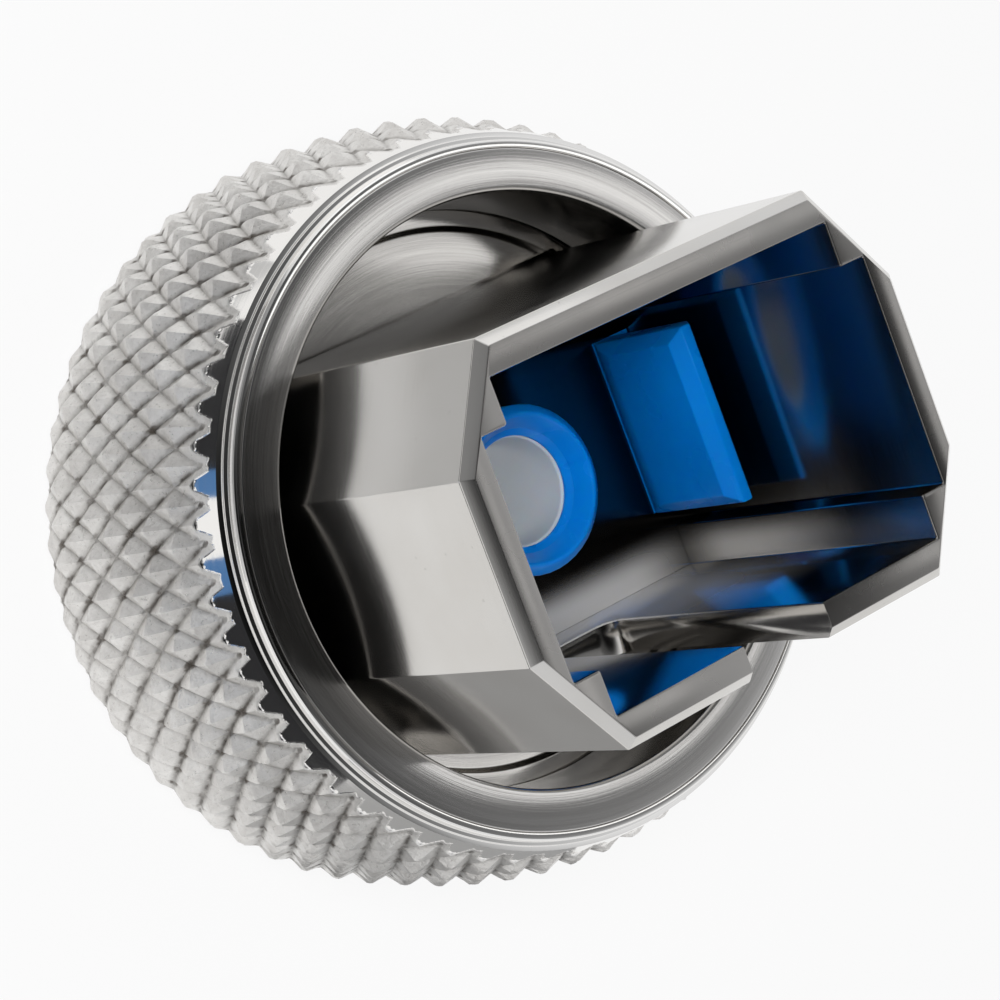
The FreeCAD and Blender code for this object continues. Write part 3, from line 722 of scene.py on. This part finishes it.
class Nodes:
    """A small helper that builds one material's node tree."""

    def __init__(self, name):
        self.material = bpy.data.materials.new(name)
        self.material.use_nodes = True
        self.tree = self.material.node_tree
        self.shader = self.tree.nodes["Principled BSDF"]
        self.place = self.tree.nodes.new("ShaderNodeTexCoord").outputs["Object"]

    def add(self, kind, **settings):
        node = self.tree.nodes.new(kind)
        for name, value in settings.items():
            setattr(node, name, value)
        return node

    def join(self, output, socket):
        self.tree.links.new(output, socket)

    def set(self, **values):
        """Numbers and colours that are the same all over, on the shader's own sockets."""
        for name, value in values.items():
            self.shader.inputs[name.replace("_", " ")].default_value = value

    def noise(self, scale, detail=3.0, stretch=None, roughness=0.5, place=None):
        """A noise pattern with a number of features per metre, stretched if asked."""
        texture = self.add("ShaderNodeTexNoise")
        texture.inputs["Scale"].default_value = scale
        texture.inputs["Detail"].default_value = detail
        texture.inputs["Roughness"].default_value = roughness
        source = place or self.place
        if stretch:
            mapping = self.add("ShaderNodeMapping")
            mapping.inputs["Scale"].default_value = stretch
            self.join(source, mapping.inputs["Vector"])
            source = mapping.outputs["Vector"]
        self.join(source, texture.inputs["Vector"])
        return texture.outputs["Fac"]

    def ramp(self, factor, *stops):
        """A ramp from (position, value or colour) pairs."""
        ramp = self.add("ShaderNodeValToRGB")
        while len(ramp.color_ramp.elements) < len(stops):
            ramp.color_ramp.elements.new(0.5)
        for element, (position, colour) in zip(ramp.color_ramp.elements, stops):
            element.position = position
            if not isinstance(colour, tuple):
                colour = (colour, colour, colour)
            element.color = (*colour, 1)
        self.join(factor, ramp.inputs["Fac"])
        return ramp.outputs["Color"]

    def maths(self, operation, one, two=None):
        """A sum of one or two numbers or outputs."""
        node = self.add("ShaderNodeMath", operation=operation)
        for socket, value in zip(node.inputs, (one, two)):
            if value is None:
                continue
            if isinstance(value, (int, float)):
                socket.default_value = value
            else:
                self.join(value, socket)
        return node.outputs[0]

    def mix(self, factor, one, two):
        """A colour between two others, by a share."""
        node = self.add("ShaderNodeMix", data_type="RGBA")
        sockets = (node.inputs[0], node.inputs[6], node.inputs[7])
        for socket, value in zip(sockets, (factor, one, two)):
            if isinstance(value, (int, float)):
                socket.default_value = value
            elif isinstance(value, tuple):
                socket.default_value = (*value, 1)
            else:
                self.join(value, socket)
        return node.outputs[2]

    def bump(self, height, distance, strength=1.0, normal=None):
        """Height in metres times a pattern, as a bump."""
        node = self.add("ShaderNodeBump")
        node.inputs["Strength"].default_value = strength
        node.inputs["Distance"].default_value = distance
        self.join(height, node.inputs["Height"])
        if normal is not None:
            self.join(normal, node.inputs["Normal"])
        return node.outputs["Normal"]

    def axes(self):
        """X, Y and Z of the object's own space."""
        split = self.add("ShaderNodeSeparateXYZ")
        self.join(self.place, split.inputs[0])
        return split.outputs

    def inner_share(self, wide, tall):
        """One inside the mouth, where X and Y are small, and nought outside; millimetres."""
        axes = self.axes()
        east = self.maths("LESS_THAN", self.maths("ABSOLUTE", axes[0]), wide * MM)
        north = self.maths("LESS_THAN", self.maths("ABSOLUTE", axes[1]), tall * MM)
        return self.maths("MULTIPLY", east, north)

    def slope(self, axis, start, end):
        """Nought at one place along an axis and one at another, smooth between; millimetres."""
        node = self.add("ShaderNodeMapRange", interpolation_type="SMOOTHSTEP")
        node.inputs["From Min"].default_value = start * MM
        node.inputs["From Max"].default_value = end * MM
        self.join(self.axes()[axis], node.inputs["Value"])
        return node.outputs[0]

    def turning(self, lines, drift):
        """A coordinate that changes quickly with radius and slowly round the axis."""
        east, north, height = self.axes()
        squares = self.maths("ADD", self.maths("MULTIPLY", east, east),
                             self.maths("MULTIPLY", north, north))
        radius = self.maths("SQRT", squares)
        along = self.maths("ADD", self.maths("MULTIPLY", radius, lines),
                           self.maths("MULTIPLY", height, lines))
        join = self.add("ShaderNodeCombineXYZ")
        self.join(along, join.inputs[0])
        for socket, side in zip(join.inputs[1:], (east, north)):
            share = self.maths("DIVIDE", side, radius)
            self.join(self.maths("MULTIPLY", share, drift), socket)
        return join.outputs[0]


BRIGHT_PLATE = (0.90, 0.885, 0.86)


def knurled_material():
    """Dull nickel plate with a fine grain: pale on the points, with painted shade in the
    grooves.
    """
    nodes = Nodes("knurled_nickel_plate")
    groove = nodes.add("ShaderNodeAttribute", attribute_name="groove").outputs["Fac"]
    cut = nodes.add("ShaderNodeAttribute", attribute_name="knurled").outputs["Fac"]
    cut = nodes.ramp(cut, (0.3, 0.0), (0.7, 1.0))
    patches = nodes.noise(1100, 5, roughness=0.65)
    grain = nodes.noise(9000, 4, roughness=0.7)
    groove_shade_mottle = nodes.ramp(nodes.noise(2200, 2), (0.40, 0.0), (0.60, 1.0))
    fine = nodes.noise(1.0, 2, place=nodes.turning(30000, 1.5), roughness=0.6)
    base = nodes.ramp(patches, (0.3, (0.68, 0.66, 0.635)), (0.7, BRIGHT_PLATE))
    specks = nodes.ramp(grain, (0.30, 0.25), (0.50, 0.0))
    base = nodes.mix(specks, base, (0.30, 0.28, 0.25))
    # Painted shade in the grooves, darkest where they cross and broken up by a mottle.
    dark = nodes.ramp(groove, (0.50, 0.0), (0.63, 0.4), (0.71, 0.9), (0.86, 1.0))
    patchy = nodes.maths("ADD", nodes.maths("MULTIPLY", groove_shade_mottle, 0.6), 0.38)
    dark = nodes.maths("MULTIPLY", dark, patchy)
    plate_with_groove_shade = nodes.mix(dark, base, (0.10, 0.085, 0.07))
    nodes.join(nodes.mix(cut, BRIGHT_PLATE, plate_with_groove_shade), nodes.shader.inputs["Base Color"])
    matte = nodes.ramp(grain, (0.25, 0.24), (0.75, 0.40))
    sleek = nodes.ramp(fine, (0.25, 0.05), (0.75, 0.11))
    nodes.join(nodes.mix(cut, sleek, matte), nodes.shader.inputs["Roughness"])
    rough = nodes.maths("MULTIPLY", grain, cut)
    marks = nodes.bump(fine, 0.0000006, 0.4)
    nodes.join(nodes.bump(rough, 0.00003, 0.8, marks), nodes.shader.inputs["Normal"])
    nodes.set(Metallic=1.0)
    return nodes.material


def turned_material(name, colour_low, colour_high, rough_low, rough_high, lines=0.000002):
    """Nickel with fine concentric marks from the lathe."""
    nodes = Nodes(name)
    fine = nodes.noise(1.0, 2, place=nodes.turning(26000, 2.0), roughness=0.6)
    broad = nodes.noise(1.0, 2, place=nodes.turning(5000, 1.2))
    nodes.join(nodes.ramp(broad, (0.3, colour_low), (0.7, colour_high)),
               nodes.shader.inputs["Base Color"])
    nodes.join(nodes.ramp(fine, (0.25, rough_low), (0.75, rough_high)),
               nodes.shader.inputs["Roughness"])
    nodes.join(nodes.bump(fine, lines, 0.7), nodes.shader.inputs["Normal"])
    nodes.set(Metallic=1.0)
    return nodes


def ring_material():
    """Satin nickel, its shine drawn out along the lathe's marks."""
    nodes = turned_material("turned_nickel_face", (0.62, 0.605, 0.585), (0.72, 0.705, 0.685),
                            0.15, 0.25)
    tangent = nodes.add("ShaderNodeTangent", direction_type="RADIAL", axis="Z")
    nodes.join(tangent.outputs[0], nodes.shader.inputs["Tangent"])
    nodes.set(Anisotropic=0.3)
    return nodes.material


def disc_material():
    """Smoother nickel, somewhat darker, for the bottom of the recess."""
    return turned_material("polished_nickel_disc", (0.53, 0.515, 0.495), (0.61, 0.595, 0.57),
                           0.09, 0.17, 0.0000006).material


def shell_material(name, shade_level):
    """Polished nickel: soft patches of haze, hairline scratches and a few dust specks, with
    painted shade and painted light inside the mouth.
    """
    nodes = Nodes(name)
    haze = nodes.noise(420, 3)
    hair = nodes.noise(900, 3, stretch=(1.0, 1.0, 22.0), roughness=0.6)
    specks = nodes.ramp(nodes.noise(5200, 1), (0.76, 0.0), (0.79, 1.0))
    base = nodes.ramp(haze, (0.3, (0.655, 0.635, 0.605)), (0.7, (0.715, 0.70, 0.675)))
    base = nodes.mix(nodes.maths("MULTIPLY", specks, 0.3), base, (0.45, 0.43, 0.4))
    # Inside the mouth, away from the key slot, painted shade darkens the plate.
    inner = nodes.maths("MAXIMUM", nodes.inner_share(5.57, 2.74), nodes.inner_share(4.87, 3.78))
    inner = nodes.maths("MULTIPLY", inner, nodes.slope(2, 14.84, 14.8))
    upper = nodes.slope(1, -3.4, -2.5)
    mouth_painted_shade = nodes.maths("MULTIPLY", inner, upper)
    base = nodes.mix(nodes.maths("MULTIPLY", mouth_painted_shade, shade_level), base, (0.09, 0.085, 0.08))
    # Painted light: low in the mouth by the key slot the plate is paler and partly
    # non-metallic.
    painted_light_patch = nodes.maths("MULTIPLY", nodes.maths("SUBTRACT", inner, mouth_painted_shade),
                       nodes.maths("MULTIPLY", nodes.slope(2, 12.5, 7), nodes.slope(0, 5.3, 3)))
    base = nodes.mix(painted_light_patch, base, (0.80, 0.785, 0.76))
    # The rim's front face is sawn: darker and rougher.
    sawn = nodes.slope(2, 14.815, 14.835)
    base = nodes.mix(nodes.maths("MULTIPLY", sawn, 0.75), base, (0.26, 0.25, 0.24))
    nodes.join(base, nodes.shader.inputs["Base Color"])
    metal = nodes.maths("SUBTRACT", 1.0, nodes.maths("MULTIPLY", painted_light_patch, 0.6))
    nodes.join(metal, nodes.shader.inputs["Metallic"])
    rough = nodes.maths("ADD", nodes.maths("MULTIPLY", haze, 0.10),
                        nodes.maths("MULTIPLY", hair, 0.08))
    rough = nodes.maths("ADD", rough, nodes.maths("MULTIPLY", inner, -0.02))
    rough = nodes.maths("ADD", rough, nodes.maths("MULTIPLY", sawn, 0.12))
    nodes.join(nodes.maths("ADD", rough, 0.06), nodes.shader.inputs["Roughness"])
    ripple = nodes.bump(nodes.noise(260, 2), 0.00003, 0.15)
    nodes.join(nodes.bump(hair, 0.000001, 0.5, ripple), nodes.shader.inputs["Normal"])
    return nodes.material


def plastic_material():
    """Glossy blue moulding with a faint mottle and a fine moulded skin."""
    nodes = Nodes("blue_moulding")
    mottle = nodes.noise(600, 3)
    skin = nodes.noise(7000, 2)
    nodes.join(nodes.ramp(mottle, (0.3, (0.0005, 0.235, 0.80)), (0.7, (0.001, 0.27, 0.88))),
               nodes.shader.inputs["Base Color"])
    nodes.join(nodes.ramp(mottle, (0.3, 0.24), (0.7, 0.34)), nodes.shader.inputs["Roughness"])
    nodes.join(nodes.bump(skin, 0.000003, 0.5), nodes.shader.inputs["Normal"])
    nodes.set(IOR=1.5, Specular_IOR_Level=0.35, Subsurface_Weight=0.3, Subsurface_Scale=0.0008)
    return nodes.material


def ceramic_material():
    """White zirconia: smooth, faintly cloudy, with light soaking in a little."""
    nodes = Nodes("white_zirconia")
    cloud = nodes.noise(900, 3)
    nodes.join(nodes.ramp(cloud, (0.3, (0.66, 0.71, 0.76)), (0.7, (0.675, 0.725, 0.775))),
               nodes.shader.inputs["Base Color"])
    nodes.join(nodes.ramp(cloud, (0.3, 0.29), (0.7, 0.31)), nodes.shader.inputs["Roughness"])
    nodes.set(Subsurface_Weight=0.25, Subsurface_Scale=0.0006)
    nodes.join(nodes.bump(nodes.noise(6000, 2), 0.000002, 0.4), nodes.shader.inputs["Normal"])
    nodes.set(IOR=1.7)
    return nodes.material


def dress(piece, material):
    """Give a piece its material."""
    piece.data.materials.clear()
    piece.data.materials.append(material)


dress(nut, knurled_material())
dress(ring, ring_material())
dress(disc, disc_material())
# Inside the mouth the shell takes half the painted shade, the liner nearly all of it.
dress(shell, shell_material("polished_nickel_shell", 0.5))
dress(liner, shell_material("nickel_plate_painted_shade", 0.93))
plastic = plastic_material()
dress(insert, plastic)
dress(lip, plastic)
dress(bush, turned_material("turned_nickel_bush", (0.60, 0.58, 0.56), (0.70, 0.68, 0.66),
                            0.14, 0.26).material)
dress(sleeve, ceramic_material())


# Camera: a long lens, above the left side of the standing adapter.
CAMERA_PLACE = Vector((-41.216, 11.036, 69.441)) * MM
CAMERA_RIGHT = Vector((0.7556, -0.3497, 0.5539))
CAMERA_UP = Vector((0.371, 0.9253, 0.0781))
CAMERA_LENS = 117.37


def add_camera():
    """The camera at the photograph's place and turn."""
    data = bpy.data.cameras.new("camera")
    data.lens = CAMERA_LENS
    data.sensor_width = 36
    data.clip_start = 0.001
    data.clip_end = 5
    camera = add_object("camera", data)
    right = CAMERA_RIGHT.normalized()
    back = right.cross(CAMERA_UP).normalized()
    up = back.cross(right)
    turn = Matrix((right, up, back)).transposed().to_4x4()
    camera.matrix_world = Matrix.Translation(CAMERA_PLACE) @ turn
    bpy.context.scene.camera = camera


CENTRE = Vector((0, 0, 8)) * MM


def area_lamp(name, place, wide, tall, power):
    """A soft rectangular lamp that looks at the part; millimetres and watts."""
    data = bpy.data.lights.new(name, "AREA")
    data.shape = "RECTANGLE"
    data.size = wide * MM
    data.size_y = tall * MM
    data.energy = power
    lamp = add_object(name, data)
    here = Vector(place) * MM
    turn = (CENTRE - here).to_track_quat("-Z", "Y").to_matrix().to_4x4()
    lamp.matrix_world = Matrix.Translation(here) @ turn
    return lamp


CARD_LEVEL = 0.4 * MM
FLOOR_LEVEL = -0.02 * MM
FLOOR_REACH = 1.2


def floor_card(name, start, end, near, far, colour):
    """A sheet on the floor between two bearings in degrees, which only mirrors see, as painted
    shade or a painted reflection; mm.
    """
    points, faces = [], []
    steps = 12
    for step in range(steps + 1):
        angle = math.radians(start + (end - start) * step / steps)
        for reach in (near, far):
            points.append(tuple(polar(reach * MM, angle, CARD_LEVEL)))
    for step in range(steps):
        faces.append((2 * step, 2 * step + 1, 2 * step + 3, 2 * step + 2))
    mesh = bpy.data.meshes.new(name)
    mesh.from_pydata(points, [], faces)
    card = add_object(name, mesh)
    card.visible_camera = card.visible_diffuse = card.visible_shadow = False
    material = bpy.data.materials.new(name)
    material.use_nodes = True
    shader = material.node_tree.nodes["Principled BSDF"]
    shader.inputs["Base Color"].default_value = (*colour, 1)
    shader.inputs["Roughness"].default_value = 0.9
    mesh.materials.append(material)


def shown_white(tree, lit, seen=0.88, mirrored=0.75):
    """Mix a lit surface with plain white, so that the eye and mirrors see a pale ground."""
    path = tree.nodes.new("ShaderNodeLightPath")
    either = tree.nodes.new("ShaderNodeMath")
    either.operation = "MAXIMUM"
    mirror = tree.nodes.new("ShaderNodeMath")
    mirror.operation = "MAXIMUM"
    tree.links.new(path.outputs["Is Glossy Ray"], mirror.inputs[0])
    tree.links.new(path.outputs["Is Transmission Ray"], mirror.inputs[1])
    amount = tree.nodes.new("ShaderNodeMapRange")
    amount.inputs["To Max"].default_value = mirrored
    tree.links.new(mirror.outputs[0], amount.inputs["Value"])
    share = tree.nodes.new("ShaderNodeMapRange")
    share.inputs["To Max"].default_value = seen
    tree.links.new(path.outputs["Is Camera Ray"], share.inputs["Value"])
    tree.links.new(share.outputs[0], either.inputs[0])
    tree.links.new(amount.outputs[0], either.inputs[1])
    white = tree.nodes.new("ShaderNodeEmission")
    mix = tree.nodes.new("ShaderNodeMixShader")
    tree.links.new(either.outputs[0], mix.inputs[0])
    tree.links.new(lit, mix.inputs[1])
    tree.links.new(white.outputs[0], mix.inputs[2])
    return mix.outputs[0]


def add_floor():
    """A pale floor just under the nut's rear face."""
    corners = [(east * FLOOR_REACH, north * FLOOR_REACH, FLOOR_LEVEL)
               for east, north in ((-1, -1), (1, -1), (1, 1), (-1, 1))]
    mesh = bpy.data.meshes.new("floor")
    mesh.from_pydata(corners, [], [(0, 1, 2, 3)])
    floor = add_object("floor", mesh)
    material = bpy.data.materials.new("pale_floor")
    material.use_nodes = True
    tree = material.node_tree
    lit = tree.nodes["Principled BSDF"]
    lit.inputs["Base Color"].default_value = (0.85, 0.85, 0.85, 1)
    lit.inputs["Roughness"].default_value = 0.8
    out = tree.nodes["Material Output"]
    tree.links.new(shown_white(tree, lit.outputs[0]), out.inputs["Surface"])
    mesh.materials.append(material)


def add_world():
    """A pale studio: soft grey for light and reflections, white for the eye."""
    world = bpy.data.worlds.new("studio")
    bpy.context.scene.world = world
    world.use_nodes = True
    tree = world.node_tree
    sky = tree.nodes["Background"]
    place = tree.nodes.new("ShaderNodeTexCoord").outputs["Generated"]
    split = tree.nodes.new("ShaderNodeSeparateXYZ")
    tree.links.new(place, split.inputs[0])
    ramp = tree.nodes.new("ShaderNodeValToRGB")
    levels = ((0.0, 0.85), (0.5, 0.78), (0.68, 0.50), (0.78, 0.24), (0.88, 0.10), (1.0, 0.04))
    while len(ramp.color_ramp.elements) < len(levels):
        ramp.color_ramp.elements.new(0.5)
    for element, (position, level) in zip(ramp.color_ramp.elements, levels):
        element.position = position
        element.color = (level * 0.99, level, level * 1.02, 1)
    tree.links.new(split.outputs[2], ramp.inputs[0])
    tree.links.new(ramp.outputs[0], sky.inputs["Color"])

    def patch(toward, start, end, level):
        """A soft patch of another level round a direction, and one outside it."""
        away = tree.nodes.new("ShaderNodeVectorMath")
        away.operation = "DOT_PRODUCT"
        away.inputs[1].default_value = Vector(toward).normalized()
        tree.links.new(place, away.inputs[0])
        shade = tree.nodes.new("ShaderNodeMapRange")
        shade.interpolation_type = "SMOOTHSTEP"
        for name, value in (("From Min", start), ("From Max", end),
                            ("To Min", 1.0), ("To Max", level)):
            shade.inputs[name].default_value = value
        tree.links.new(away.outputs["Value"], shade.inputs["Value"])
        return shade.outputs[0]

    def product(one, two):
        """Two outputs multiplied."""
        node = tree.nodes.new("ShaderNodeMath")
        node.operation = "MULTIPLY"
        tree.links.new(one, node.inputs[0])
        tree.links.new(two, node.inputs[1])
        return node.outputs[0]

    # A dark side behind the camera, as in a tent with an opening, and a dimmer one beside it.
    strength = product(patch((-0.54, -0.06, 0.84), 0.74, 0.97, 0.04),
                       patch((-0.6, 0.78, 0.15), 0.5, 0.95, 0.35))
    tree.links.new(strength, sky.inputs["Strength"])
    white = tree.nodes.new("ShaderNodeBackground")
    path = tree.nodes.new("ShaderNodeLightPath")
    mix = tree.nodes.new("ShaderNodeMixShader")
    tree.links.new(path.outputs["Is Camera Ray"], mix.inputs[0])
    tree.links.new(sky.outputs[0], mix.inputs[1])
    tree.links.new(white.outputs[0], mix.inputs[2])
    tree.links.new(mix.outputs[0], tree.nodes["World Output"].inputs["Surface"])


add_camera()
add_floor()
add_world()
area_lamp("lamp_mirrored", (179, -19.5, 249), 63, 88, 0.0175)
area_lamp("lamp_top", (15, 110, 60), 110, 60, 0.007)
area_lamp("lamp_front", (-50, 20, 100), 40, 40, 0.075).visible_glossy = False
# Sheets on the floor that only mirrors see: the grey ones are painted shade of the floor round
# the nut, the black and blue ones painted reflections in the nut's metal.
BLACK, BLUE = (0.015, 0.015, 0.017), (0.07, 0.19, 0.42)
floor_card("card_shade", 112, 168, 10.5, 15.3, (0.82, 0.82, 0.82))
floor_card("card_shade_far", 104, 176, 15.3, 21.5, (0.62, 0.62, 0.62))
floor_card("card_shade_low", 222, 278, 10, 21, (0.45, 0.45, 0.45))
floor_card("card_left", 118, 151, 22, 46, BLACK)
floor_card("card_gap_left", 151, 157, 23, 46, BLUE)
floor_card("card_gap_low", 170, 178, 23, 46, BLUE)
floor_card("card_low", 178, 226, 20, 46, BLACK)

bpy.context.scene.view_settings.view_transform = "Standard"
